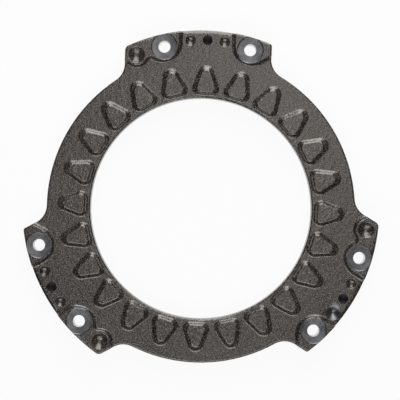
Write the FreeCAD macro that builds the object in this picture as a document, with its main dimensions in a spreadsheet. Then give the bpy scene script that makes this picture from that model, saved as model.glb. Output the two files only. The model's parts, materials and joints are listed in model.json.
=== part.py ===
import FreeCAD, Part
import math
import os

import Sketcher

# Pressure plate of a diaphragm spring clutch: one grey iron casting, partly machined.
# The friction face lies on z = 0 and the cast side faces +Z. The origin is on the axis of the
# bore, and the first of the three lugs points along +Y. Millimetres and degrees throughout.
# Left and right are those of a lug seen from the cast side with the axis of the bore below.

SIZES = {
    # the ring
    "ring_outer_diameter": 230.0,
    "bore_diameter": 165.0,
    "plate_thickness": 14.0,
    "friction_chamfer": 1.0,
    "bore_rounding": 1.2,
    "rim_rounding": 1.4,
    # the strap holes, in pairs on a circle just inside the edge of the lugs
    "lug_count": 3,
    "lug_height": 18.0,
    "hole_inset": 9.5,
    "hole_half_angle": 15.0,
    "hole_diameter": 9.0,
    "spot_face_diameter": 20.0,
    "spot_face_depth": 1.3,
    "spot_face_corner": 0.9,
    # the lugs around them
    "lug_left_margin": 8.9,
    "lug_right_margin": 16.1,
    "lug_left_corner": 4.0,
    "lug_right_corner": 2.0,
    "lug_root_fillet": 15.0,
    "lug_underside_step": 2.0,
    "lug_roll_radius": 5.2,
    "lug_roll_width": 3.2,
    # the two bosses of a lug, each with a lobe around its strap hole
    "boss_height": 3.0,
    "boss_draft": 15.0,
    "boss_wall_gap": 12.75,
    "boss_lobe_radius": 14.5,
    "boss_lobe_rise": 3.1,
    "boss_tail_angle": 35.0,
    "boss_crown_rounding": 1.4,
    "boss_foot_rounding": 1.4,
    # the small boss that grows out of the left one
    "hub_radius": 11.3,
    "neck_radius": 3.0,
    "corner_boss_offset": 18.5,
    "corner_boss_drop": 10.2,
    "corner_boss_radius": 8.6,
    "corner_boss_tail_angle": 25.0,
    "corner_dimple_radius": 5.8,
    "corner_dimple_depth": 2.9,
    # the blind hole and the dimples between the bosses
    "gauge_hole_inset": 7.4,
    "gauge_hole_diameter": 7.4,
    "gauge_hole_depth": 5.0,
    "drill_point_angle": 118.0,
    "dimple_inset": 8.3,
    "dimple_wall_gap": 6.5,
    "dimple_radius": 3.7,
    "dimple_depth": 1.9,
    "dimple_rim_rounding": 0.7,
    "balance_drilling_radius": 5.6,
    # the pads around the bore
    "pad_count": 24,
    "pad_height": 2.5,
    "pad_draft": 15.0,
    "pad_bore_gap": 2.3,
    "pad_rim_gap": 8.7,
    "pad_spacing": 4.9,
    "pad_tip_radius": 5.4,
    "pad_corner_radius": 4.8,
    "pad_crown_rounding": 1.3,
    "pad_foot_rounding": 1.3,
    # how far the block stands out past the lugs before it is trimmed, and cuts past the bosses
    "trim_allowance": 5.0,
}


class Size:
    """A size worked out from the sheet: its number now, and its formula on the sheet's cells."""

    def __init__(self, number, formula):
        self.number = number
        self.formula = formula

    def joined(self, sign, other, work):
        """Return this size joined to another size or a plain number."""
        if not isinstance(other, Size):
            other = Size(other, str(other))
        return Size(work(self.number, other.number), f"({self.formula} {sign} {other.formula})")

    def __add__(self, other):
        return self.joined("+", other, lambda first, second: first + second)

    def __sub__(self, other):
        return self.joined("-", other, lambda first, second: first - second)

    def __mul__(self, other):
        return self.joined("*", other, lambda first, second: first * second)

    def __truediv__(self, other):
        return self.joined("/", other, lambda first, second: first / second)

    def __neg__(self):
        return self * -1


def size(name):
    """Return a driving size of the sheet."""
    return Size(SIZES[name], f"sizes.{name}")


def sine(angle):
    """Return the sine of a size in degrees."""
    return Size(math.sin(math.radians(angle.number)), f"sin({angle.formula} * 1 deg)")


def cosine(angle):
    """Return the cosine of a size in degrees."""
    return Size(math.cos(math.radians(angle.number)), f"cos({angle.formula} * 1 deg)")


def tangent(angle):
    """Return the tangent of a size in degrees."""
    return Size(math.tan(math.radians(angle.number)), f"tan({angle.formula} * 1 deg)")


TOP = size("plate_thickness")
BOSS_TOP = TOP + size("boss_height")
PAD_TOP = TOP + size("pad_height")
RING = size("ring_outer_diameter") / 2
BORE = size("bore_diameter") / 2
FULL_TURN = Size(360, "360")
LUG_PITCH = FULL_TURN / size("lug_count")

# a lug's forms hang on its strap holes, which hang on its outer edge
LUG_TIP = RING + size("lug_height")
HOLE_CIRCLE = LUG_TIP - size("hole_inset")
HOLE_ACROSS = HOLE_CIRCLE * sine(size("hole_half_angle"))
HOLE_ALONG = HOLE_CIRCLE * cosine(size("hole_half_angle"))
BOSS_WALL = HOLE_ACROSS - size("boss_wall_gap")
LOBE_ACROSS = BOSS_WALL + size("boss_lobe_radius")
LOBE_ALONG = HOLE_ALONG + size("boss_lobe_rise")
CORNER_ACROSS = LOBE_ACROSS + size("corner_boss_offset")
CORNER_ALONG = LOBE_ALONG - size("corner_boss_drop")
LUG_LEFT = CORNER_ACROSS + size("lug_left_margin")
LUG_RIGHT = HOLE_ACROSS + size("lug_right_margin")
GAUGE_ALONG = LUG_TIP - size("gauge_hole_inset")
DIMPLE_ALONG = LUG_TIP - size("dimple_inset")
DIMPLE_ACROSS = BOSS_WALL - size("dimple_wall_gap")

# the block and the profiles of the bosses run past the lugs, and the outline trims them
BLOCK = LUG_TIP + size("trim_allowance")
FAR = BLOCK + size("trim_allowance")
FAR_LEFT = LUG_LEFT + size("trim_allowance") * 2
FAR_RIGHT = LUG_RIGHT + size("trim_allowance") * 2

# a pad fills its share of the ring between the bore and the rim
PAD_BASE = BORE + size("pad_bore_gap")
PAD_TIP = RING - size("pad_rim_gap")
PAD_CORNER_ALONG = PAD_BASE + size("pad_corner_radius")
PAD_HALF_PITCH = PAD_CORNER_ALONG * tangent(FULL_TURN / size("pad_count") / 2)
PAD_HALF_WIDTH = PAD_HALF_PITCH - size("pad_spacing") / 2
PAD_CORNER_ACROSS = PAD_HALF_WIDTH - size("pad_corner_radius")
PAD_TIP_CENTRE = PAD_TIP - size("pad_tip_radius")

ORIGIN = (-1, 1)
H_AXIS, V_AXIS = -1, -2
START, END, CENTRE = 1, 2, 3
CLOSE = 1e-4


def vector(x, y, z=0.0):
    """Return a vector from its coordinates."""
    return FreeCAD.Vector(x, y, z)


def polar(radius, angle):
    """Return the x and y of a point at a radius and an angle from +X."""
    return radius * math.cos(math.radians(angle)), radius * math.sin(math.radians(angle))


def heading(origin, target):
    """Return the angle of a target seen from an origin, from 0 to 360."""
    return math.degrees(math.atan2(target[1] - origin[1], target[0] - origin[0])) % 360


def make_sheet(doc):
    """Fill the sheet of driving sizes."""
    sheet = doc.addObject("Spreadsheet::Sheet", "sizes")
    for row, (alias, value) in enumerate(SIZES.items(), start=1):
        sheet.set(f"A{row}", alias)
        sheet.set(f"B{row}", str(value))
        sheet.setAlias(f"B{row}", alias)
    doc.recompute()


def origin_item(body, role):
    """Return one of a body's origin planes or axes by its role."""
    return next(item for item in body.Origin.OriginFeatures if item.Role == role)


class Profile:
    """A sketch on an origin plane of its body, with dimensions bound to the sheet."""

    def __init__(self, body, name, role="XY_Plane", **offset):
        self.sketch = body.newObject("Sketcher::SketchObject", name)
        self.sketch.AttachmentSupport = (origin_item(body, role), [""])
        self.sketch.MapMode = "FlatFace"
        for letter, distance in offset.items():
            self.sketch.setExpression(f"AttachmentOffset.Base.{letter}", distance.formula)

    def line(self, start, end):
        """Add a line and return its index."""
        return self.sketch.addGeometry(Part.LineSegment(vector(*start), vector(*end)), False)

    def circle(self, centre, radius):
        """Add a circle and return its index."""
        ring = Part.Circle(vector(*centre), vector(0, 0, 1), radius)
        return self.sketch.addGeometry(ring, False)

    def arc(self, centre, radius, first, last):
        """Add an arc that turns to the left from one angle to the other."""
        ring = Part.Circle(vector(*centre), vector(0, 0, 1), radius)
        piece = Part.ArcOfCircle(ring, math.radians(first), math.radians(last))
        return self.sketch.addGeometry(piece, False)

    def rule(self, kind, *arguments):
        """Add a geometric constraint."""
        self.sketch.addConstraint(Sketcher.Constraint(kind, *arguments))

    def close(self, lines):
        """Join each line's end to the next one's start, and the last one's to the first."""
        for first, second in zip(lines, lines[1:] + lines[:1]):
            self.rule("Coincident", first, END, second, START)

    def drive(self, name, kind, *arguments, by):
        """Add a dimension and bind it to a size."""
        index = self.sketch.addConstraint(Sketcher.Constraint(kind, *arguments, by.number))
        self.sketch.renameConstraint(index, name)
        self.sketch.setExpression(f"Constraints.{name}", by.formula)

    def drive_x(self, name, point, by):
        """Bind the distance of a point from the sketch's origin along its x."""
        self.drive(name, "DistanceX", *ORIGIN, *point, by=by)

    def drive_y(self, name, point, by):
        """Bind the distance of a point from the sketch's origin along its y."""
        self.drive(name, "DistanceY", *ORIGIN, *point, by=by)

    def drive_angle(self, name, line, by):
        """Bind the angle of a line from the sketch's x to a size in degrees."""
        radians = Sketcher.Constraint("Angle", line, math.radians(by.number))
        index = self.sketch.addConstraint(radians)
        self.sketch.renameConstraint(index, name)
        self.sketch.setExpression(f"Constraints.{name}", f"{by.formula} * 1 deg")


def add_pad(body, name, profile, height, draft=None):
    """Add a pad that narrows upwards by an optional draft."""
    pad = body.newObject("PartDesign::Pad", name)
    pad.Profile = profile.sketch
    pad.setExpression("Length", height.formula)
    if draft:
        pad.setExpression("TaperAngle", f"-{draft.formula} * 1 deg")
    return pad


def repeat(body, name, features, count):
    """Repeat features around the axis of the bore."""
    pattern = body.newObject("PartDesign::PolarPattern", name)
    pattern.Originals = features
    pattern.Axis = (origin_item(body, "Z_Axis"), [""])
    pattern.Angle = 360
    pattern.setExpression("Occurrences", count.formula)
    body.Tip = pattern
    return pattern


def add_fillet(body, name, radius, test):
    """Round the edges of the body's last feature that pass a test."""
    body.Document.recompute()
    base = body.Tip
    names = [f"Edge{i}" for i, edge in enumerate(base.Shape.Edges, start=1) if test(edge)]
    fillet = body.newObject("PartDesign::Fillet", name)
    fillet.Base = (base, names)
    fillet.setExpression("Radius", radius.formula)
    body.Tip = fillet
    return fillet


def middle(edge):
    """Return the point halfway along an edge."""
    return edge.valueAt(0.5 * (edge.FirstParameter + edge.LastParameter))


def from_axis(point):
    """Return the distance of a point from the axis of the bore."""
    return math.hypot(point.x, point.y)


def is_upright(edge):
    """Tell whether an edge is a straight line along Z."""
    low, high = edge.valueAt(edge.FirstParameter), edge.valueAt(edge.LastParameter)
    return math.hypot(high.x - low.x, high.y - low.y) < CLOSE and abs(high.z - low.z) > CLOSE


def at_level(edge, level):
    """Tell whether an edge lies on a horizontal plane."""
    points = [vertex.Point for vertex in edge.Vertexes] + [middle(edge)]
    return all(abs(point.z - level.number) < CLOSE for point in points)


def around_bore(edge):
    """Tell whether an edge is a circle around the axis of the bore."""
    return isinstance(edge.Curve, Part.Circle) and from_axis(edge.Curve.Center) < CLOSE


def lug_angle(point):
    """Return the angle of a point from the nearest lug's middle, to the right when positive."""
    clockwise = math.degrees(math.atan2(point.x, point.y))
    return (clockwise + LUG_PITCH.number / 2) % LUG_PITCH.number - LUG_PITCH.number / 2


def across_and_along(point):
    """Return how far a point is across the middle of its lug and along it."""
    angle = lug_angle(point)
    return polar(from_axis(point), 90 - angle)


def past_lug(edge):
    """Tell whether an edge closes a boss profile beyond the lug, where the trim removes it."""
    places = [across_and_along(vertex.Point) for vertex in edge.Vertexes]
    margin = 1.5 * SIZES["trim_allowance"]
    right = min(across for across, along in places) > LUG_RIGHT.number + margin
    left = max(across for across, along in places) < -LUG_LEFT.number - margin
    along = min(along for across, along in places)
    return along > LUG_TIP.number or (along > BORE.number and (left or right))


def is_side(face):
    """Tell whether a face stands upright all over."""
    u_low, u_high, v_low, v_high = face.ParameterRange
    return abs(face.normalAt(0.5 * (u_low + u_high), 0.5 * (v_low + v_high)).z) < CLOSE


def make_outline(doc):
    """Build the prism of the plate's outline: a disc with three lugs and their roundings."""
    body = doc.addObject("PartDesign::Body", "outline")
    tip, left, right = LUG_TIP.number, LUG_LEFT.number, LUG_RIGHT.number

    disc = Profile(body, "disc_sketch")
    circle = disc.circle((0, 0), RING.number)
    disc.rule("Coincident", circle, CENTRE, *ORIGIN)
    disc.drive("radius", "Radius", circle, by=RING)

    lug = Profile(body, "lug_sketch")
    left_top = (-left, math.sqrt(tip**2 - left**2))
    right_top = (right, math.sqrt(tip**2 - right**2))
    base = lug.line((-left, 0), (right, 0))
    right_side = lug.line((right, 0), right_top)
    crown = lug.arc((0, 0), tip, heading((0, 0), right_top), heading((0, 0), left_top))
    left_side = lug.line(left_top, (-left, 0))
    lug.close([base, right_side, crown, left_side])
    lug.rule("Coincident", crown, CENTRE, *ORIGIN)
    lug.rule("Vertical", left_side)
    lug.rule("Vertical", right_side)
    lug.rule("PointOnObject", base, START, H_AXIS)
    lug.rule("PointOnObject", base, END, H_AXIS)
    lug.drive("tip", "Radius", crown, by=LUG_TIP)
    lug.drive_x("left", (base, START), -LUG_LEFT)
    lug.drive_x("right", (base, END), LUG_RIGHT)

    for name, profile in (("disc", disc), ("lug", lug)):
        pad = add_pad(body, name, profile, TOP * 4)
        pad.SideType = "Symmetric"
    repeat(body, "lugs", [body.Tip], size("lug_count"))

    def root(edge):
        return is_upright(edge) and abs(from_axis(middle(edge)) - RING.number) < CLOSE

    def corner(edge, side):
        at_tip = abs(from_axis(middle(edge)) - tip) < CLOSE
        return is_upright(edge) and at_tip and side * lug_angle(middle(edge)) > 0

    add_fillet(body, "lug_roots", size("lug_root_fillet"), root)
    add_fillet(body, "left_corners", size("lug_left_corner"), lambda edge: corner(edge, -1))
    add_fillet(body, "right_corners", size("lug_right_corner"), lambda edge: corner(edge, 1))
    doc.recompute()
    return body


def section_profile(body):
    """Draw the section of the block: friction face, step under the lugs and flat cast face."""
    chamfer, step = size("friction_chamfer"), size("lug_underside_step")
    face_start, face_end = BORE + chamfer, RING - chamfer
    corners = [
        (BORE, chamfer),
        (face_start, None),
        (face_end, None),
        (RING, chamfer),
        (RING, step),
        (BLOCK, step),
        (BLOCK, TOP),
        (BORE, TOP),
    ]
    points = [(x.number, y.number if y else 0.0) for x, y in corners]

    section = Profile(body, "section_sketch", "XZ_Plane")
    lines = [section.line(*ends) for ends in zip(points, points[1:] + points[:1])]
    section.close(lines)
    for line, (x, y) in zip(lines, corners):
        section.drive_x(f"across_{line}", (line, START), x)
        if y:
            section.drive_y(f"height_{line}", (line, START), y)
        else:
            section.rule("PointOnObject", line, START, H_AXIS)
    return section


def right_boss_profile(body):
    """Draw the foot of the right boss, open past the edges of the lug."""
    wall, far, side = BOSS_WALL.number, FAR.number, FAR_RIGHT.number
    angle = SIZES["boss_tail_angle"]
    lobe = SIZES["boss_lobe_radius"]
    centre = (LOBE_ACROSS.number, LOBE_ALONG.number)
    bend_x, bend_y = polar(lobe, 270 + angle)
    bend = (centre[0] + bend_x, centre[1] + bend_y)
    tail_end = (side, bend[1] + (side - bend[0]) * math.tan(math.radians(angle)))

    boss = Profile(body, "right_boss_sketch", z=TOP)
    inner = boss.line((wall, far), (wall, centre[1]))
    arc = boss.arc(centre, lobe, 180, 270 + angle)
    tail = boss.line(bend, tail_end)
    outer = boss.line(tail_end, (side, far))
    cap = boss.line((side, far), (wall, far))
    boss.rule("Tangent", inner, END, arc, START)
    boss.rule("Tangent", arc, END, tail, START)
    boss.rule("Coincident", tail, END, outer, START)
    boss.rule("Coincident", outer, END, cap, START)
    boss.rule("Coincident", cap, END, inner, START)
    boss.rule("Vertical", inner)
    boss.rule("Vertical", outer)
    boss.rule("Horizontal", cap)
    boss.drive("lobe", "Radius", arc, by=size("boss_lobe_radius"))
    boss.drive_x("wall", (inner, START), BOSS_WALL)
    boss.drive_y("lobe_centre", (arc, CENTRE), LOBE_ALONG)
    boss.drive_angle("tail_angle", tail, size("boss_tail_angle"))
    boss.drive_x("side", (cap, START), FAR_RIGHT)
    boss.drive_y("far", (cap, START), FAR)
    return boss


def tangent_centre(first, first_gap, second, second_gap):
    """Return the lower point at given distances from two centres."""
    across = vector(second[0] - first[0], second[1] - first[1])
    span = across.Length
    along = (first_gap**2 - second_gap**2 + span**2) / (2 * span)
    off = math.sqrt(first_gap**2 - along**2)
    unit = across / span
    foot = (first[0] + along * unit.x, first[1] + along * unit.y)
    sides = [(foot[0] + sign * off * unit.y, foot[1] - sign * off * unit.x) for sign in (1, -1)]
    return min(sides, key=lambda point: point[1])


def left_boss_profile(body):
    """Draw the foot of the left boss with the small corner boss that grows out of it."""
    lobe, hub, neck = SIZES["boss_lobe_radius"], SIZES["hub_radius"], SIZES["neck_radius"]
    corner_radius, angle = SIZES["corner_boss_radius"], SIZES["corner_boss_tail_angle"]
    wall, far, side = BOSS_WALL.number, FAR.number, FAR_LEFT.number
    lobe_centre = (-LOBE_ACROSS.number, LOBE_ALONG.number)
    hub_centre = (-LOBE_ACROSS.number, LOBE_ALONG.number - lobe + hub)
    corner = (-CORNER_ACROSS.number, CORNER_ALONG.number)
    neck_centre = tangent_centre(hub_centre, hub + neck, corner, corner_radius + neck)
    bend_x, bend_y = polar(corner_radius, 270 - angle)
    bend = (corner[0] + bend_x, corner[1] + bend_y)
    tail_end = (-side, bend[1] + (side + bend[0]) * math.tan(math.radians(angle)))

    boss = Profile(body, "left_boss_sketch", z=TOP)
    inner = boss.line((-wall, far), (-wall, lobe_centre[1]))
    lobe_arc = boss.arc(lobe_centre, lobe, 270, 360)
    hub_arc = boss.arc(hub_centre, hub, heading(hub_centre, neck_centre), 270)
    neck_arc = boss.arc(neck_centre, neck, heading(neck_centre, hub_centre),
                        heading(neck_centre, corner))
    corner_arc = boss.arc(corner, corner_radius, 270 - angle, heading(corner, neck_centre))
    tail = boss.line(bend, tail_end)
    outer = boss.line(tail_end, (-side, far))
    cap = boss.line((-side, far), (-wall, far))
    boss.rule("Tangent", inner, END, lobe_arc, END)
    boss.rule("Tangent", lobe_arc, START, hub_arc, END)
    boss.rule("Tangent", hub_arc, START, neck_arc, START)
    boss.rule("Tangent", neck_arc, END, corner_arc, END)
    boss.rule("Tangent", corner_arc, START, tail, START)
    boss.rule("Coincident", tail, END, outer, START)
    boss.rule("Coincident", outer, END, cap, START)
    boss.rule("Coincident", cap, END, inner, START)
    boss.rule("Vertical", inner)
    boss.rule("Vertical", outer)
    boss.rule("Horizontal", cap)
    boss.rule("Vertical", lobe_arc, CENTRE, hub_arc, CENTRE)
    boss.drive("lobe", "Radius", lobe_arc, by=size("boss_lobe_radius"))
    boss.drive("hub", "Radius", hub_arc, by=size("hub_radius"))
    boss.drive("neck", "Radius", neck_arc, by=size("neck_radius"))
    boss.drive("corner", "Radius", corner_arc, by=size("corner_boss_radius"))
    boss.drive_x("wall", (inner, START), -BOSS_WALL)
    boss.drive_y("lobe_centre", (lobe_arc, CENTRE), LOBE_ALONG)
    boss.drive_x("corner_x", (corner_arc, CENTRE), -CORNER_ACROSS)
    boss.drive_y("corner_y", (corner_arc, CENTRE), CORNER_ALONG)
    boss.drive_angle("tail_angle", tail, -size("corner_boss_tail_angle") + 180)
    boss.drive_x("side", (cap, START), -FAR_LEFT)
    boss.drive_y("far", (cap, START), FAR)
    return boss


def pad_profile(body):
    """Draw the foot of the pad on the first lug's middle: a rounded triangle, apex outwards."""
    tip, corner = SIZES["pad_tip_radius"], SIZES["pad_corner_radius"]
    base_y, corner_x = PAD_BASE.number, PAD_CORNER_ACROSS.number
    corner_y, tip_y = PAD_CORNER_ALONG.number, PAD_TIP_CENTRE.number
    # the side touches the corner's circle and the tip's, at this angle of their radii
    span = math.hypot(corner_x, tip_y - corner_y)
    towards_tip = heading((corner_x, corner_y), (0, tip_y))
    touch = towards_tip - math.degrees(math.acos((corner - tip) / span))
    corner_touch, tip_touch = polar(corner, touch), polar(tip, touch)
    low = (corner_x + corner_touch[0], corner_y + corner_touch[1])
    high = (tip_touch[0], tip_y + tip_touch[1])

    pad = Profile(body, "pad_sketch", z=TOP)
    base = pad.line((-corner_x, base_y), (corner_x, base_y))
    right_corner = pad.arc((corner_x, corner_y), corner, 270, 360 + touch)
    right_side = pad.line(low, high)
    tip_arc = pad.arc((0, tip_y), tip, touch, 180 - touch)
    left_side = pad.line((-high[0], high[1]), (-low[0], low[1]))
    left_corner = pad.arc((-corner_x, corner_y), corner, 180 - touch, 270)
    pad.rule("Tangent", base, END, right_corner, START)
    pad.rule("Tangent", right_corner, END, right_side, START)
    pad.rule("Tangent", right_side, END, tip_arc, START)
    pad.rule("Tangent", tip_arc, END, left_side, START)
    pad.rule("Tangent", left_side, END, left_corner, START)
    pad.rule("Tangent", left_corner, END, base, START)
    pad.rule("Symmetric", base, START, base, END, V_AXIS)
    pad.rule("PointOnObject", tip_arc, CENTRE, V_AXIS)
    pad.rule("Equal", left_corner, right_corner)
    pad.drive_y("base", (base, START), PAD_BASE)
    pad.drive_x("corner_centre", (right_corner, CENTRE), PAD_CORNER_ACROSS)
    pad.drive_y("tip_centre", (tip_arc, CENTRE), PAD_TIP_CENTRE)
    pad.drive("tip", "Radius", tip_arc, by=size("pad_tip_radius"))
    pad.drive("corner", "Radius", right_corner, by=size("pad_corner_radius"))
    return pad


def roll_profile(body):
    """Draw what the roll-off takes from the outer edge of a lug, in the plane through its middle."""
    top, tip, outside = TOP.number, LUG_TIP.number, BLOCK.number
    radius, width = SIZES["lug_roll_radius"], SIZES["lug_roll_width"]
    start = (tip - width, top)
    fall = math.degrees(math.asin(width / radius))
    low = (tip, top - radius + radius * math.cos(math.radians(fall)))

    roll = Profile(body, "roll_sketch", "YZ_Plane")
    curve = roll.arc((start[0], top - radius), radius, 90 - fall, 90)
    shelf = roll.line(low, (outside, low[1]))
    rise = roll.line((outside, low[1]), (outside, top))
    lid = roll.line((outside, top), start)
    roll.rule("Coincident", curve, START, shelf, START)
    roll.rule("Coincident", shelf, END, rise, START)
    roll.rule("Coincident", rise, END, lid, START)
    roll.rule("Tangent", lid, END, curve, END)
    roll.rule("Horizontal", shelf)
    roll.rule("Vertical", rise)
    roll.rule("Horizontal", lid)
    roll.drive("radius", "Radius", curve, by=size("lug_roll_radius"))
    roll.drive_x("low", (curve, START), LUG_TIP)
    roll.drive_x("start", (curve, END), LUG_TIP - size("lug_roll_width"))
    roll.drive_y("top", (curve, END), TOP)
    roll.drive_x("outside", (rise, START), BLOCK)
    return roll


def add_strap_holes(body):
    """Drill the two strap holes of the first lug right through."""
    holes = Profile(body, "hole_sketch")
    diameter = size("hole_diameter")
    for side, across in (("right", HOLE_ACROSS), ("left", -HOLE_ACROSS)):
        circle = holes.circle((across.number, HOLE_ALONG.number), diameter.number / 2)
        holes.drive(f"{side}_diameter", "Diameter", circle, by=diameter)
        holes.drive_x(f"{side}_x", (circle, CENTRE), across)
        holes.drive_y(f"{side}_y", (circle, CENTRE), HOLE_ALONG)
    pocket = body.newObject("PartDesign::Pocket", "strap_holes")
    pocket.Profile = holes.sketch
    pocket.Type = "ThroughAll"
    pocket.Midplane = True
    return pocket


def add_spot_face(body, side, across):
    """Turn the seat around a strap hole, with the round corner that the cutter leaves."""
    radius, corner = size("spot_face_diameter") / 2, size("spot_face_corner")
    floor = BOSS_TOP - size("spot_face_depth")
    high = BOSS_TOP + size("trim_allowance")
    low_y, high_y, edge = floor.number, high.number, radius.number
    bend = (edge - corner.number, low_y + corner.number)

    cut = Profile(body, f"{side}_spot_face_sketch", "XZ_Plane", x=across, z=-HOLE_ALONG)
    seat = cut.line((0, low_y), (bend[0], low_y))
    curve = cut.arc(bend, corner.number, 270, 360)
    wall = cut.line((edge, bend[1]), (edge, high_y))
    lid = cut.line((edge, high_y), (0, high_y))
    axis = cut.line((0, high_y), (0, low_y))
    cut.rule("Tangent", seat, END, curve, START)
    cut.rule("Tangent", curve, END, wall, START)
    cut.rule("Coincident", wall, END, lid, START)
    cut.rule("Coincident", lid, END, axis, START)
    cut.rule("Coincident", axis, END, seat, START)
    cut.rule("Horizontal", seat)
    cut.rule("Horizontal", lid)
    cut.rule("Vertical", wall)
    cut.rule("PointOnObject", axis, START, V_AXIS)
    cut.rule("PointOnObject", axis, END, V_AXIS)
    cut.drive("corner", "Radius", curve, by=corner)
    cut.drive_x("radius", (wall, END), radius)
    cut.drive_y("floor", (seat, START), floor)
    cut.drive_y("high", (lid, END), high)

    spot_face = body.newObject("PartDesign::Groove", f"{side}_spot_face")
    spot_face.Profile = cut.sketch
    spot_face.ReferenceAxis = (cut.sketch, ["V_Axis"])
    spot_face.Angle = 360
    return spot_face


def put(tool, across, along, level):
    """Bind the place of a cutting primitive on the body's horizontal plane."""
    tool.AttachmentSupport = (origin_item(tool.getParentGeoFeatureGroup(), "XY_Plane"), [""])
    tool.MapMode = "FlatFace"
    for letter, place in zip("xyz", (across, along, level)):
        tool.setExpression(f"AttachmentOffset.Base.{letter}", place.formula)


def add_dimple(body, name, across, along, rim, radius, depth):
    """Sink a spherical dimple with a rim of a radius at a level."""
    dimple = body.newObject("PartDesign::SubtractiveSphere", name)
    ball = (radius * radius + depth * depth) / (depth * 2)
    dimple.setExpression("Radius", ball.formula)
    put(dimple, across, along, rim - depth + ball)
    return dimple


def add_gauge_hole(body):
    """Drill the blind hole between the bosses, with its drill point."""
    spot = Profile(body, "gauge_hole_sketch", z=TOP)
    circle = spot.circle((0, GAUGE_ALONG.number), SIZES["gauge_hole_diameter"] / 2)
    spot.rule("PointOnObject", circle, CENTRE, V_AXIS)
    spot.drive_y("along", (circle, CENTRE), GAUGE_ALONG)
    spot.drive("diameter", "Diameter", circle, by=size("gauge_hole_diameter"))
    body.Document.recompute()
    hole = body.newObject("PartDesign::Hole", "gauge_hole")
    hole.Profile = spot.sketch
    hole.DepthType = "Dimension"
    hole.DrillPoint = "Angled"
    hole.setExpression("Diameter", "sizes.gauge_hole_diameter")
    hole.setExpression("Depth", "sizes.gauge_hole_depth")
    hole.setExpression("DrillPointAngle", "sizes.drill_point_angle * 1 deg")
    return hole


def add_balance_drilling(body):
    """Cut the cone of the drill that balanced the plate, into the second lug's right dimple."""
    radius = size("balance_drilling_radius")
    depth = radius / tangent(size("drill_point_angle") / 2)
    cone = body.newObject("PartDesign::SubtractiveCone", "balance_drilling")
    cone.Radius1 = 0
    cone.setExpression("Radius2", radius.formula)
    cone.setExpression("Height", depth.formula)
    turned, ahead = sine(LUG_PITCH), cosine(LUG_PITCH)
    put(cone, DIMPLE_ACROSS * ahead + DIMPLE_ALONG * turned,
        DIMPLE_ALONG * ahead - DIMPLE_ACROSS * turned, TOP - depth)
    return cone


def add_bosses(body):
    """Stand the two bosses on every lug and round their crowns and feet."""
    bosses = [
        add_pad(body, name, profile, size("boss_height"), size("boss_draft"))
        for name, profile in (
            ("right_boss", right_boss_profile(body)),
            ("left_boss", left_boss_profile(body)),
        )
    ]
    repeat(body, "bosses", bosses, size("lug_count"))

    def edge_of_boss(edge, level):
        return at_level(edge, level) and not around_bore(edge) and not past_lug(edge)

    add_fillet(body, "boss_crowns", size("boss_crown_rounding"),
               lambda edge: edge_of_boss(edge, BOSS_TOP))
    add_fillet(body, "boss_feet", size("boss_foot_rounding"),
               lambda edge: edge_of_boss(edge, TOP))


def trim_to_outline(body, outline):
    """Cut the block back to the plate's outline and round the rim of its cast side."""
    trim = body.newObject("PartDesign::Boolean", "trim")
    trim.setObjects([outline])
    trim.Type = "Common"
    body.Tip = trim

    sides = Part.Compound([face for face in outline.Shape.Faces if is_side(face)])
    lowest_rim = 0.5 * (TOP.number + SIZES["lug_underside_step"])

    def on_rim(edge):
        point = middle(edge)
        if point.z < lowest_rim or is_upright(edge):
            return False
        return Part.Vertex(point).distToShape(sides)[0] < CLOSE

    def bore_edge(edge):
        at_bore = abs(from_axis(edge.Vertexes[0].Point) - BORE.number) < CLOSE
        return at_bore and at_level(edge, TOP)

    add_fillet(body, "rim", size("rim_rounding"), on_rim)
    add_fillet(body, "bore_edge", size("bore_rounding"), bore_edge)


def add_marks(body):
    """Sink the roll-offs and the dimples into every lug."""
    profile = roll_profile(body)
    roll = body.newObject("PartDesign::Groove", "roll_off")
    roll.Profile = profile.sketch
    roll.ReferenceAxis = (profile.sketch, ["V_Axis"])
    roll.Midplane = True
    clear = BOSS_WALL - size("boss_foot_rounding")
    roll.setExpression("Angle", f"2 * asin({clear.formula} / {LUG_TIP.formula})")
    body.Tip = roll

    small = (size("dimple_radius"), size("dimple_depth"))
    large = (size("corner_dimple_radius"), size("corner_dimple_depth"))
    dimples = [
        add_dimple(body, "right_dimple", DIMPLE_ACROSS, DIMPLE_ALONG, TOP, *small),
        add_dimple(body, "left_dimple", -DIMPLE_ACROSS, DIMPLE_ALONG, TOP, *small),
        add_dimple(body, "corner_dimple", -CORNER_ACROSS, CORNER_ALONG, BOSS_TOP, *large),
    ]
    repeat(body, "marks", [roll, *dimples], size("lug_count"))

    def dimple_rim(edge):
        lies_flat = at_level(edge, TOP) or at_level(edge, BOSS_TOP)
        if edge.Degenerated or not lies_flat or not isinstance(edge.Curve, Part.Circle):
            return False
        radii = (SIZES["dimple_radius"], SIZES["corner_dimple_radius"])
        return any(abs(edge.Curve.Radius - radius) < CLOSE for radius in radii)

    add_fillet(body, "dimple_rims", size("dimple_rim_rounding"), dimple_rim)


def add_machining(body):
    """Drill the gauge holes, spot-face and drill the strap holes, and drill for balance."""
    cuts = [
        add_gauge_hole(body),
        add_spot_face(body, "right", HOLE_ACROSS),
        add_spot_face(body, "left", -HOLE_ACROSS),
        add_strap_holes(body),
    ]
    repeat(body, "machining", cuts, size("lug_count"))
    body.Tip = add_balance_drilling(body)


def add_pads(body):
    """Stand the pads in a ring around the bore and round their crowns and feet."""
    reach = PAD_TIP.number + 0.5 * SIZES["pad_foot_rounding"]

    def edge_of_pad(edge, level):
        inside = from_axis(middle(edge)) < reach
        return inside and at_level(edge, level) and not around_bore(edge)

    pad = add_pad(body, "pad", pad_profile(body), size("pad_height"), size("pad_draft"))
    repeat(body, "pads", [pad], size("pad_count"))
    add_fillet(body, "pad_crowns", size("pad_crown_rounding"),
               lambda edge: edge_of_pad(edge, PAD_TOP))
    add_fillet(body, "pad_feet", size("pad_foot_rounding"),
               lambda edge: edge_of_pad(edge, TOP))


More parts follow.
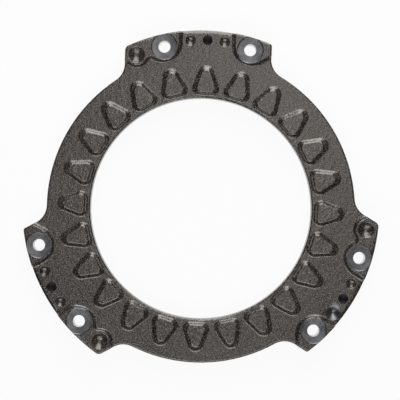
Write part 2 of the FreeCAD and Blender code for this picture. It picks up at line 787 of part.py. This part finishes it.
def make_plate(doc, outline):
    """Build the plate: block and bosses trimmed to the outline, marks, holes and pads."""
    body = doc.addObject("PartDesign::Body", "pressure_plate")
    section = section_profile(body)
    block = body.newObject("PartDesign::Revolution", "block")
    block.Profile = section.sketch
    block.ReferenceAxis = (section.sketch, ["V_Axis"])
    block.Angle = 360

    add_bosses(body)
    trim_to_outline(body, outline)
    add_marks(body)
    add_machining(body)
    add_pads(body)
    doc.recompute()
    return body


def check(doc, parts):
    """Stop if an object of the document failed or a part's shape isn't a sound solid."""
    for item in doc.Objects:
        if {"Invalid", "Error"} & set(item.State):
            raise RuntimeError(f"{item.Name} failed: {item.State}")
    for part in parts:
        shape = part.Shape
        if shape.isNull() or not shape.isValid() or len(shape.Solids) != 1:
            raise RuntimeError(f"{part.Label} is not one sound solid")


def main():
    """Build the document and write one file for each part."""
    doc = FreeCAD.newDocument("pressure_plate")
    make_sheet(doc)
    outline = make_outline(doc)
    plate = make_plate(doc, outline)
    parts = [plate]
    check(doc, parts)
    os.makedirs("parts", exist_ok=True)
    for part in parts:
        part.Shape.exportStep(os.path.join("parts", f"{part.Label}.step"))
        print(f"{part.Label}: {part.Shape.Volume:.0f} mm3")


main()
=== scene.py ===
"""Looks of a bare clutch pressure plate: a grey iron casting under a thin dark coat.

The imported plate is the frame. Its surface is taken over by one smooth piece, and each cast,
turned or drilled face gets a finish of its own. Metres throughout, and angles in degrees.
"""

from __future__ import annotations

import json
import logging
import math
from collections.abc import Mapping
from dataclasses import dataclass, field
from enum import Enum

import bpy
from mathutils import Matrix, Vector


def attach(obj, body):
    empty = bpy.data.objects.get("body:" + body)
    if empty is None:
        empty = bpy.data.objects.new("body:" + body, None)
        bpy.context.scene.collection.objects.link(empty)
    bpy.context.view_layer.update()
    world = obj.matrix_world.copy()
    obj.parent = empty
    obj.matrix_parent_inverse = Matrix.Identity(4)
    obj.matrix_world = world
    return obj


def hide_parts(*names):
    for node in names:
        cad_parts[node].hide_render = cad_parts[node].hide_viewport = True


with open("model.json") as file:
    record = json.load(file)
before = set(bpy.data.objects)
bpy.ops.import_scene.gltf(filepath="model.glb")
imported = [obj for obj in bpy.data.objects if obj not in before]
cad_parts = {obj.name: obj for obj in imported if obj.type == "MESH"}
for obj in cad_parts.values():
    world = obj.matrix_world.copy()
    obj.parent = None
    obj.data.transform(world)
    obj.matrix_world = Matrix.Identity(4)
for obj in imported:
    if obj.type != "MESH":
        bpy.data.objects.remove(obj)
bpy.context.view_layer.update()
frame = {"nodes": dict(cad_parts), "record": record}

LOG = logging.getLogger("plate")
MM = 0.001
QUARTER_TURN = 0.25 * math.tau
NOISE_MIDDLE = 0.5
OPAQUE_WHITE = (1.0, 1.0, 1.0, 1.0)
# The two colours and the result of a Mix node, by the numbers of their sockets.
MIX_FIRST, MIX_SECOND, MIX_RESULT = 6, 7, 2
Colour = tuple[float, float, float]
Point = tuple[float, float, float]
Band = tuple[float, float]


def flat_gap(first: Vector, second: Vector) -> float:
    """Return the distance between two places, measured flat."""
    return math.hypot(first.x - second.x, first.y - second.y)


class Wire:
    """An output of a shader node that takes part in Python arithmetic."""

    def __init__(self, board: Board, socket: bpy.types.NodeSocket) -> None:
        """Wrap a socket.

        Args:
            board: The material that the socket belongs to.
            socket: The output socket of a node.
        """
        self.board = board
        self.socket = socket

    def math(self, operation: str, *values: Wire | float) -> Wire:
        """Return the result of a Math node on this wire and other values."""
        sockets = dict(enumerate((self, *values)))
        return self.board.add("ShaderNodeMath", {"operation": operation}, sockets)

    def __add__(self, other: Wire | float) -> Wire:
        """Add a value."""
        return self.math("ADD", other)

    def __sub__(self, other: Wire | float) -> Wire:
        """Take a value away."""
        return self.math("SUBTRACT", other)

    def __mul__(self, other: Wire | float) -> Wire:
        """Multiply by a value."""
        return self.math("MULTIPLY", other)

    def __rsub__(self, other: float) -> Wire:
        """Take this wire away from a number."""
        return self.board.add("ShaderNodeMath", {"operation": "SUBTRACT"}, {0: other, 1: self})

    __radd__ = __add__
    __rmul__ = __mul__

    def step(self, low: float, high: float) -> Wire:
        """Return a smooth step from 0 at one value to 1 at another."""
        sockets = {"Value": self, "From Min": low, "From Max": high}
        return self.board.add("ShaderNodeMapRange", {"interpolation_type": "SMOOTHSTEP"}, sockets)


class Board:
    """The node tree of one material."""

    def __init__(self, name: str) -> None:
        """Start a material.

        Args:
            name: The name of the material.
        """
        self.material = bpy.data.materials.new(name)
        self.material.use_nodes = True
        self.tree = self.material.node_tree
        self.tree.nodes.clear()

    def add(
        self,
        kind: str,
        settings: Mapping[str, object] | None = None,
        sockets: Mapping[int | str, object] | None = None,
        output: int | str = 0,
    ) -> Wire:
        """Add a node.

        Args:
            kind: The type of the node.
            settings: Properties of the node, which are set first.
            sockets: Values or wires of its inputs, by name or number.
            output: The output to return.

        Returns:
            The wire of that output.
        """
        node = self.tree.nodes.new(kind)
        for name, value in (settings or {}).items():
            setattr(node, name, value)
        for name, value in (sockets or {}).items():
            if isinstance(value, Wire):
                self.tree.links.new(value.socket, node.inputs[name])
            else:
                node.inputs[name].default_value = value
        return Wire(self, node.outputs[output])

    def place(self) -> Wire:
        """Return the object coordinates, in metres."""
        return self.add("ShaderNodeTexCoord", output="Object")

    def noise(self, place: Wire, size: float, detail: float = 2.0, rough: float = 0.5) -> Wire:
        """Return a noise around its middle, with lumps of a size in metres."""
        sockets = {"Vector": place, "Scale": 1.0 / size, "Detail": detail, "Roughness": rough}
        return self.add("ShaderNodeTexNoise", {"noise_dimensions": "3D"}, sockets)

    def blend(self, amount: Wire, first: Colour | Wire, second: Colour | Wire) -> Wire:
        """Mix two colours.

        Args:
            amount: 0 for the first colour and 1 for the second.
            first: A colour, or the wire of one.
            second: A colour, or the wire of one.

        Returns:
            The colour between them.
        """
        first, second = (c if isinstance(c, Wire) else (*c, 1.0) for c in (first, second))
        sockets = {0: amount, MIX_FIRST: first, MIX_SECOND: second}
        return self.add("ShaderNodeMix", {"data_type": "RGBA"}, sockets, output=MIX_RESULT)

    def relief(self, height: Wire) -> Wire:
        """Return the normal that a height in metres gives the surface."""
        return self.add("ShaderNodeBump", sockets={"Height": height, "Distance": 1.0})

    def surface(self, **sockets: object) -> bpy.types.Material:
        """End the tree with a Principled shader.

        Args:
            **sockets: Its inputs, with underscores for the spaces in their names.

        Returns:
            The finished material.
        """
        named = {name.replace("_", " "): value for name, value in sockets.items()}
        self.end(self.add("ShaderNodeBsdfPrincipled", sockets=named, output="BSDF"))
        return self.material

    def end(self, shader: Wire) -> None:
        """Send a shader to the material's output."""
        node = self.tree.nodes.new("ShaderNodeOutputMaterial")
        self.tree.links.new(shader.socket, node.inputs["Surface"])


@dataclass(frozen=True)
class CastCoat:
    """Sand-cast skin with a fine grain, under a thin dark glossy coat; its pale specks are painted
    glints.
    """

    name: str = "cast_coat"
    deep: Colour = (0.0075, 0.0067, 0.0060)
    pale: Colour = (0.051, 0.045, 0.040)
    tan: Colour = (0.062, 0.046, 0.036)
    # Pale speck colour on the grain's peaks: painted glints, where light would catch the grain.
    painted_glint: Colour = (0.250, 0.226, 0.200)
    gloss: Colour = (1.0, 0.94, 0.88)
    grain_size: float = 1.0 * MM
    grain_height: float = 0.15 * MM
    grain_band: Band = (0.40, 0.60)
    grain_share: float = 0.8
    grain_roughness: float = 0.14
    pit_size: float = 3.2 * MM
    pit_height: float = 0.20 * MM
    patch_size: float = 45.0 * MM
    patch_band: Band = (0.35, 0.68)
    patch_share: float = 0.2
    patch_roughness: float = 0.1
    tan_band: Band = (0.52, 0.75)
    tan_share: float = 0.35
    painted_glint_band: Band = (0.57, 0.70)
    painted_glint_share: float = 0.8
    roughness: float = 0.22
    index: float = 1.9

    def make(self) -> bpy.types.Material:
        """Make the finish.

        Returns:
            Its material.
        """
        board = Board(self.name)
        place = board.place()
        grain = board.noise(place, self.grain_size, detail=2.0, rough=0.55)
        pits = board.noise(place, self.pit_size, detail=1.0)
        patches = board.noise(place, self.patch_size, detail=3.0, rough=0.6)
        fine = grain.step(*self.grain_band) * self.grain_share
        broad = patches.step(*self.patch_band) * self.patch_share
        coat = board.blend(fine + broad, self.deep, self.pale)
        aged = board.blend(patches.step(*self.tan_band) * self.tan_share, coat, self.tan)
        return board.surface(
            # Pale specks on the grain's peaks: painted glints laid into the colour.
            Base_Color=board.blend(grain.step(*self.painted_glint_band) * self.painted_glint_share, aged, self.painted_glint),
            Roughness=self.roughness
            + self.grain_roughness * (grain - NOISE_MIDDLE)
            + self.patch_roughness * (patches - NOISE_MIDDLE),
            IOR=self.index,
            Specular_Tint=(*self.gloss, 1.0),
            Normal=board.relief(grain * self.grain_height + pits * self.pit_height),
        )


@dataclass(frozen=True)
class TurnedIron:
    """Bare iron with the fine rings that a turned, drilled or spot-facing tool leaves."""

    name: str
    centres: tuple[Point, ...]
    deep: Colour = (0.085, 0.085, 0.091)
    pale: Colour = (0.200, 0.200, 0.212)
    feed: float = 0.35 * MM
    ring_height: float = 0.04 * MM
    dish: float = 0.0
    stain_size: float = 6.0 * MM
    stain_roughness: float = 0.2
    band: Band = (0.3, 0.7)
    ring_share: float = 0.5
    roughness: float = 0.30
    metallic: float = 0.85

    def make(self) -> bpy.types.Material:
        """Make the finish.

        Returns:
            Its material.
        """
        board = Board(self.name)
        place = board.place()
        radius = self.radius(board, place)
        rings = board.add(
            "ShaderNodeTexNoise",
            {"noise_dimensions": "1D"},
            {"W": radius, "Scale": 1.0 / self.feed, "Detail": 2.0, "Roughness": 0.6},
        )
        stains = board.noise(place, self.stain_size, detail=2.0)
        ringed = rings.step(*self.band) * self.ring_share
        stained = stains.step(*self.band) * (1.0 - self.ring_share)
        return board.surface(
            Base_Color=board.blend(ringed + stained, self.deep, self.pale),
            Metallic=self.metallic,
            Roughness=self.roughness + self.stain_roughness * (stains - NOISE_MIDDLE),
            Normal=board.relief(rings * self.ring_height + radius * radius * self.dish),
        )

    def radius(self, board: Board, place: Wire) -> Wire:
        """Measure how far the surface is from the nearest tool's axis.

        Args:
            board: The material that the measure is for.
            place: The object coordinates.

        Returns:
            The flat distance.
        """
        flat = board.add(
            "ShaderNodeVectorMath",
            {"operation": "MULTIPLY"},
            {0: place, 1: (1.0, 1.0, 0.0)},
        )
        spans = [
            board.add(
                "ShaderNodeVectorMath",
                {"operation": "DISTANCE"},
                {0: flat, 1: (x, y, 0.0)},
                output="Value",
            )
            for x, y, _ in self.centres
        ]
        nearest = spans[0]
        for span in spans[1:]:
            nearest = nearest.math("MINIMUM", span)
        return nearest


class Skin(Enum):
    """The finishes of the plate, in the order of its material slots."""

    CAST = 0
    SPOT_FACED = 1
    STRAP_HOLE = 2
    GAUGE_HOLE = 3
    DRILLED = 4
    TURNED = 5


@dataclass
class PressurePlate:
    """The casting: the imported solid's surface made one smooth piece and dressed by place."""

    node: str = "pressure_plate"
    piece_name: str = "casting"
    slot: str = "cast_iron"
    lugs: tuple[float, ...] = (90.0, -30.0, -150.0)
    lug_middle: float = 130.0 * MM
    cast_face: float = 14.0 * MM
    spot_face_radius: float = 10.0 * MM
    spot_reach: float = 10.2 * MM
    spot_dish: float = 4.5
    gauge_hole_distance: float = 125.6 * MM
    gauge_hole_radius: float = 3.7 * MM
    dimple_distance: float = 124.7 * MM
    dimple_spread: float = 12.7 * MM
    balance_radius: float = 5.6 * MM
    friction_chamfer: float = 1.0 * MM
    pads: int = 24
    pad_top: float = 16.5 * MM
    pad_middle: float = 92.0 * MM
    pad_reach: float = 107.0 * MM
    pad_easing: float = 0.18
    boss_top: float = 17.0 * MM
    boss_easing: float = 1.1 * MM
    corner_across: float = 50.46 * MM
    corner_along: float = 109.1 * MM
    corner_reach: float = 7.0 * MM
    corner_fade: float = 4.0 * MM
    least_height: float = 0.01
    least_lean: float = 0.1
    least_facing: float = 0.3
    facing_down: float = -0.1
    facing_up: float = 0.9
    merge_distance: float = 0.001 * MM
    smooth_angle: float = 32.0
    flat_weight: int = 100
    slack: float = 0.03 * MM
    hole_radius: float = field(init=False)
    holes: list[Vector] = field(init=False)

    def __post_init__(self) -> None:
        """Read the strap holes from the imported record's mounts."""
        self.holes = []
        for mount in frame["record"]["mounts"]:
            if mount["kind"] == "bolt_pattern":
                self.hole_radius = mount["dims"]["hole_r_mm"] * MM
                half = 0.5 * mount["dims"]["spacing_x_mm"] * MM
                centre = Vector(mount["pos_m"])
                self.holes += [centre + Vector((side * half, 0.0, 0.0)) for side in (-1, 1)]

    def build(self) -> bpy.types.Object:
        """Make the piece.

        Returns:
            The dressed casting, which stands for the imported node.
        """
        source = frame["nodes"][self.node]
        piece = bpy.data.objects.new(self.piece_name, source.data.copy())
        bpy.context.scene.collection.objects.link(piece)
        self.merge(piece)
        self.ease_pads(piece)
        self.ease_bosses(piece)
        self.smooth(piece)
        self.dress(piece)
        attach(piece, "root")
        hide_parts(self.node)
        LOG.info("%s: %d faces", piece.name, len(piece.data.polygons))
        return piece

    def merge(self, piece: bpy.types.Object) -> None:
        """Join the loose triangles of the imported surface.

        Args:
            piece: The casting.
        """
        bpy.ops.object.select_all(action="DESELECT")
        piece.select_set(True)
        bpy.context.view_layer.objects.active = piece
        bpy.ops.object.mode_set(mode="EDIT")
        bpy.ops.mesh.select_all(action="SELECT")
        bpy.ops.mesh.customdata_custom_splitnormals_clear()
        bpy.ops.mesh.remove_doubles(threshold=self.merge_distance)
        bpy.ops.object.mode_set(mode="OBJECT")

    def ease_pads(self, piece: bpy.types.Object) -> None:
        """Draw in the tops of the pads, each about its own middle, so that their walls lean.

        Args:
            piece: The casting.
        """
        rise = self.pad_top - self.cast_face
        pitch = math.tau / self.pads
        moved = 0
        for vertex in piece.data.vertices:
            place = vertex.co
            height = (place.z - self.cast_face) / rise
            if height < self.least_height or math.hypot(place.x, place.y) > self.pad_reach:
                continue
            turn = math.atan2(place.y, place.x) - QUARTER_TURN
            turn = round(turn / pitch) * pitch + QUARTER_TURN
            middle = Vector((math.cos(turn), math.sin(turn), 0.0)) * self.pad_middle
            away = Vector((place.x, place.y, 0.0)) - middle
            place -= away * (self.pad_easing * height)
            moved += 1
        LOG.info("pads eased: %d vertices", moved)

    def ease_bosses(self, piece: bpy.types.Object) -> None:
        """Draw the tops of the bosses back from the lug's middle and the ring.

        The corner bosses are round already and keep their shape.

        Args:
            piece: The casting.
        """
        outward: dict[int, Vector] = {}
        for polygon in piece.data.polygons:
            normal = self.boss_wall_normal(polygon)
            if normal is not None:
                for index in polygon.vertices:
                    outward[index] = outward.get(index, Vector()) + polygon.area * normal
        rise = self.boss_top - self.cast_face
        corners = [self.on_lug(lug, -self.corner_across, self.corner_along) for lug in self.lugs]
        for index, normal in outward.items():
            place = piece.data.vertices[index].co
            height = (place.z - self.cast_face) / rise
            gap = min(flat_gap(place, corner) for corner in corners)
            hold = min(max((gap - self.corner_reach) / self.corner_fade, 0.0), 1.0)
            place -= normal.normalized() * (self.boss_easing * height * hold)
        LOG.info("bosses eased: %d vertices", len(outward))

    def boss_wall_normal(self, polygon: bpy.types.MeshPolygon) -> Vector | None:
        """Tell which way a boss wall looks, if it looks to the lug's middle or the ring.

        Args:
            polygon: A face of the casting.

        Returns:
            The flat direction that the face looks in, or None on any other face.
        """
        centre, normal = polygon.center, polygon.normal
        flat = Vector((normal.x, normal.y, 0.0))
        if centre.z < self.cast_face or centre.length < self.pad_reach:
            return None
        if flat.length < self.least_lean or self.hole_gap(centre) < self.spot_reach:
            return None
        angle = min(
            self.lugs,
            key=lambda lug: (centre - self.on_lug(lug, 0.0, self.lug_middle)).length,
        )
        back = Matrix.Rotation(math.radians(self.lugs[0] - angle), 4, "Z")
        facing, where = (back @ flat).normalized(), back @ centre
        inward = -math.copysign(1.0, where.x) * facing.x
        looks_in = inward > self.least_facing or facing.y < -self.least_facing
        return flat.normalized() if looks_in else None

    def smooth(self, piece: bpy.types.Object) -> None:
        """Round off the shading where the surface is smooth.

        Args:
            piece: The casting, selected and active.
        """
        bpy.ops.object.shade_smooth_by_angle(angle=math.radians(self.smooth_angle))
        flats = piece.modifiers.new("flat_faces_first", "WEIGHTED_NORMAL")
        flats.keep_sharp = True
        flats.weight = self.flat_weight
        bpy.ops.object.modifier_apply(modifier=flats.name)

    def dress(self, piece: bpy.types.Object) -> None:
        """Give every face of the piece the finish of its place.

        Args:
            piece: The casting.
        """
        finishes = self.finishes()
        piece.data.materials.clear()
        for skin in Skin:
            piece.data.materials.append(finishes[skin].make())
        for polygon in piece.data.polygons:
            polygon.material_index = self.skin_at(polygon.center, polygon.normal).value

    def finishes(self) -> dict[Skin, CastCoat | TurnedIron]:
        """List the finishes.

        Returns:
            The finish of every skin.
        """
        hole_centres = tuple(tuple(hole) for hole in self.holes)
        return {
            Skin.CAST: CastCoat(),
            Skin.SPOT_FACED: TurnedIron(
                "spot_faced_iron",
                hole_centres,
                deep=(0.095, 0.095, 0.101),
                pale=(0.24, 0.24, 0.253),
                dish=self.spot_dish,
            ),
            Skin.STRAP_HOLE: TurnedIron(
                "reamed_iron",
                hole_centres,
                deep=(0.50, 0.50, 0.50),
                pale=(0.72, 0.72, 0.72),
            ),
            Skin.GAUGE_HOLE: TurnedIron(
                "coated_drilling",
                tuple(tuple(spot) for spot in self.gauge_holes()),
                deep=(0.020, 0.020, 0.021),
                pale=(0.060, 0.060, 0.062),
                ring_height=0.01 * MM,
                roughness=0.60,
                metallic=0.0,
            ),
            Skin.DRILLED: TurnedIron(
                "drilled_iron",
                (tuple(self.balance()),),
                deep=(0.09, 0.09, 0.095),
                pale=(0.20, 0.20, 0.21),
                ring_height=0.01 * MM,
                roughness=0.32,
            ),
            Skin.TURNED: TurnedIron(
                "turned_iron",
                ((0.0, 0.0, 0.0),),
                feed=0.45 * MM,
                ring_height=0.012 * MM,
            ),
        }

    def gauge_holes(self) -> list[Vector]:
        """Return the centre of the blind hole of every lug."""
        return [self.on_lug(angle, 0.0, self.gauge_hole_distance) for angle in self.lugs]

    def balance(self) -> Vector:
        """Return the centre of the balance drilling, in the second lug's right dimple."""
        return self.on_lug(self.lugs[1], self.dimple_spread, self.dimple_distance)

    def on_lug(self, angle: float, across: float, along: float) -> Vector:
        """Return the place on the cast face across and along a lug's middle."""
        turn = Matrix.Rotation(math.radians(angle - self.lugs[0]), 4, "Z")
        return turn @ Vector((across, along, self.cast_face))

    def hole_gap(self, centre: Vector) -> float:
        """Return the flat distance from a place to the nearest strap hole's axis."""
        return min(flat_gap(centre, hole) for hole in self.holes)

    def skin_at(self, centre: Vector, normal: Vector) -> Skin:
        """Tell which finish belongs on a face.

        Args:
            centre: The middle of the face.
            normal: Its outward normal.

        Returns:
            The finish.
        """
        to_hole = self.hole_gap(centre)
        spot_level = self.holes[0].z
        if centre.z < self.friction_chamfer + self.slack and normal.z < self.facing_down:
            return Skin.TURNED
        if to_hole < self.hole_radius + self.slack:
            return Skin.STRAP_HOLE
        if to_hole < self.spot_face_radius + self.slack and centre.z > spot_level - self.slack:
            return Skin.SPOT_FACED
        if centre.z < self.cast_face - self.slack:
            to_gauge = min(flat_gap(centre, spot) for spot in self.gauge_holes())
            if to_gauge < self.gauge_hole_radius + self.slack:
                return Skin.GAUGE_HOLE
            to_balance = flat_gap(centre, self.balance())
            if to_balance < self.balance_radius and normal.z < self.facing_up:
                return Skin.DRILLED
        return Skin.CAST


@dataclass(frozen=True)
class Lamp:
    """A rectangular soft lamp that faces the plate.

    Attributes:
        name: Its name.
        elevation: Its height above the floor, in degrees.
        side: Its direction in the picture, from right towards up, in degrees.
        distance: Its distance from the middle of the plate.
        size: Its width and height.
        radiance: Its brightness, where 1 is the white of the picture.
    """

    name: str
    elevation: float
    side: float
    distance: float
    size: tuple[float, float]
    radiance: float


@dataclass
class Studio:
    """The pale floor, the soft lamps and the camera above the plate."""

    roll: float = 2.33
    scale: float = 0.7453 * MM
    pixels: int = 400
    axis_right: float = 0.83
    axis_below: float = 8.6
    distance: float = 1.27
    level: float = 14.0 * MM
    sensor: float = 36.0
    floor_level: float = -0.1 * MM
    floor_size: float = 8.0
    floor_white: float = 0.93
    paper: Colour = (0.8, 0.8, 0.8)
    room_light: float = 0.04
    lamps: tuple[Lamp, ...] = (
        Lamp("ceiling_strip", 81.0, 60.0, distance=1.6, size=(0.5, 0.85), radiance=1.5),
        Lamp("upper_softbox", 40.0, 84.0, distance=1.3, size=(0.9, 1.0), radiance=3.5),
        Lamp("upper_window", 8.0, 86.0, distance=1.1, size=(0.8, 0.4), radiance=5.0),
        Lamp("lower_softbox", 52.0, -98.0, distance=1.6, size=(1.4, 1.0), radiance=2.6),
    )

    @property
    def right(self) -> Vector:
        """Return the direction to the right in the picture."""
        turn = math.radians(self.roll)
        return Vector((math.cos(turn), math.sin(turn), 0.0))

    @property
    def up(self) -> Vector:
        """Return the direction that is up in the picture."""
        turn = math.radians(self.roll)
        return Vector((-math.sin(turn), math.cos(turn), 0.0))

    def build(self) -> None:
        """Make the floor, the lamps and the camera."""
        self.add_floor()
        for lamp in self.lamps:
            self.add_lamp(lamp)
        self.light_world()
        self.add_camera()
        LOG.info("studio: floor, %d lamps and camera", len(self.lamps))

    def add_floor(self) -> None:
        """Lay the floor, white to the camera but for the plate's shadow."""
        bpy.ops.object.select_all(action="DESELECT")
        spot = (0.0, 0.0, self.floor_level)
        bpy.ops.mesh.primitive_plane_add(size=self.floor_size, location=spot)
        floor = bpy.context.object
        floor.name = "floor"
        board = Board("pale_floor")
        ray = board.add("ShaderNodeLightPath", output="Is Camera Ray")
        glossy = board.add("ShaderNodeLightPath", output="Is Glossy Ray")
        through = board.add("ShaderNodeLightPath", output="Is Transmission Ray")
        seen = ray.math("MAXIMUM", glossy).math("MAXIMUM", through)
        paper = board.add("ShaderNodeBsdfDiffuse", sockets={"Color": (*self.paper, 1.0)})
        white = board.add("ShaderNodeEmission", sockets={"Color": OPAQUE_WHITE})
        parts = {0: seen * self.floor_white, 1: paper, 2: white}
        board.end(board.add("ShaderNodeMixShader", sockets=parts))
        floor.data.materials.append(board.material)

    def add_lamp(self, lamp: Lamp) -> None:
        """Hang a lamp.

        Args:
            lamp: Its place, size and brightness.
        """
        light = bpy.data.lights.new(lamp.name, "AREA")
        light.shape = "RECTANGLE"
        light.size, light.size_y = lamp.size
        light.energy = lamp.radiance * math.pi * lamp.size[0] * lamp.size[1]
        holder = bpy.data.objects.new(lamp.name, light)
        bpy.context.scene.collection.objects.link(holder)
        turn, rise = math.radians(lamp.side), math.radians(lamp.elevation)
        flat = math.cos(turn) * self.right + math.sin(turn) * self.up
        back = math.cos(rise) * flat + math.sin(rise) * Vector((0.0, 0.0, 1.0))
        holder.location = lamp.distance * back
        holder.rotation_mode = "QUATERNION"
        holder.rotation_quaternion = back.to_track_quat("Z", "Y")

    def light_world(self) -> None:
        """Fill the room with an even weak light."""
        world = bpy.data.worlds.new("room")
        bpy.context.scene.world = world
        world.use_nodes = True
        background = world.node_tree.nodes["Background"]
        background.inputs["Color"].default_value = OPAQUE_WHITE
        background.inputs["Strength"].default_value = self.room_light

    def add_camera(self) -> None:
        """Hang the camera straight above the picture's middle, at its scale and roll."""
        offset = self.axis_below * self.up - self.axis_right * self.right
        eye = self.scale * offset + Vector((0.0, 0.0, self.level + self.distance))
        camera = bpy.data.cameras.new("camera")
        camera.sensor_width = self.sensor
        camera.lens = self.sensor * self.distance / (self.pixels * self.scale)
        holder = bpy.data.objects.new("camera", camera)
        bpy.context.scene.collection.objects.link(holder)
        holder.location = eye
        holder.rotation_euler = (0.0, 0.0, math.radians(self.roll))
        bpy.context.scene.camera = holder


def main() -> None:
    """Build the plate and its studio."""
    logging.basicConfig(level=logging.INFO, format="%(name)s: %(message)s")
    bpy.context.scene.view_settings.view_transform = "Standard"
    PressurePlate().build()
    Studio().build()


if __name__ == "__main__":
    main()
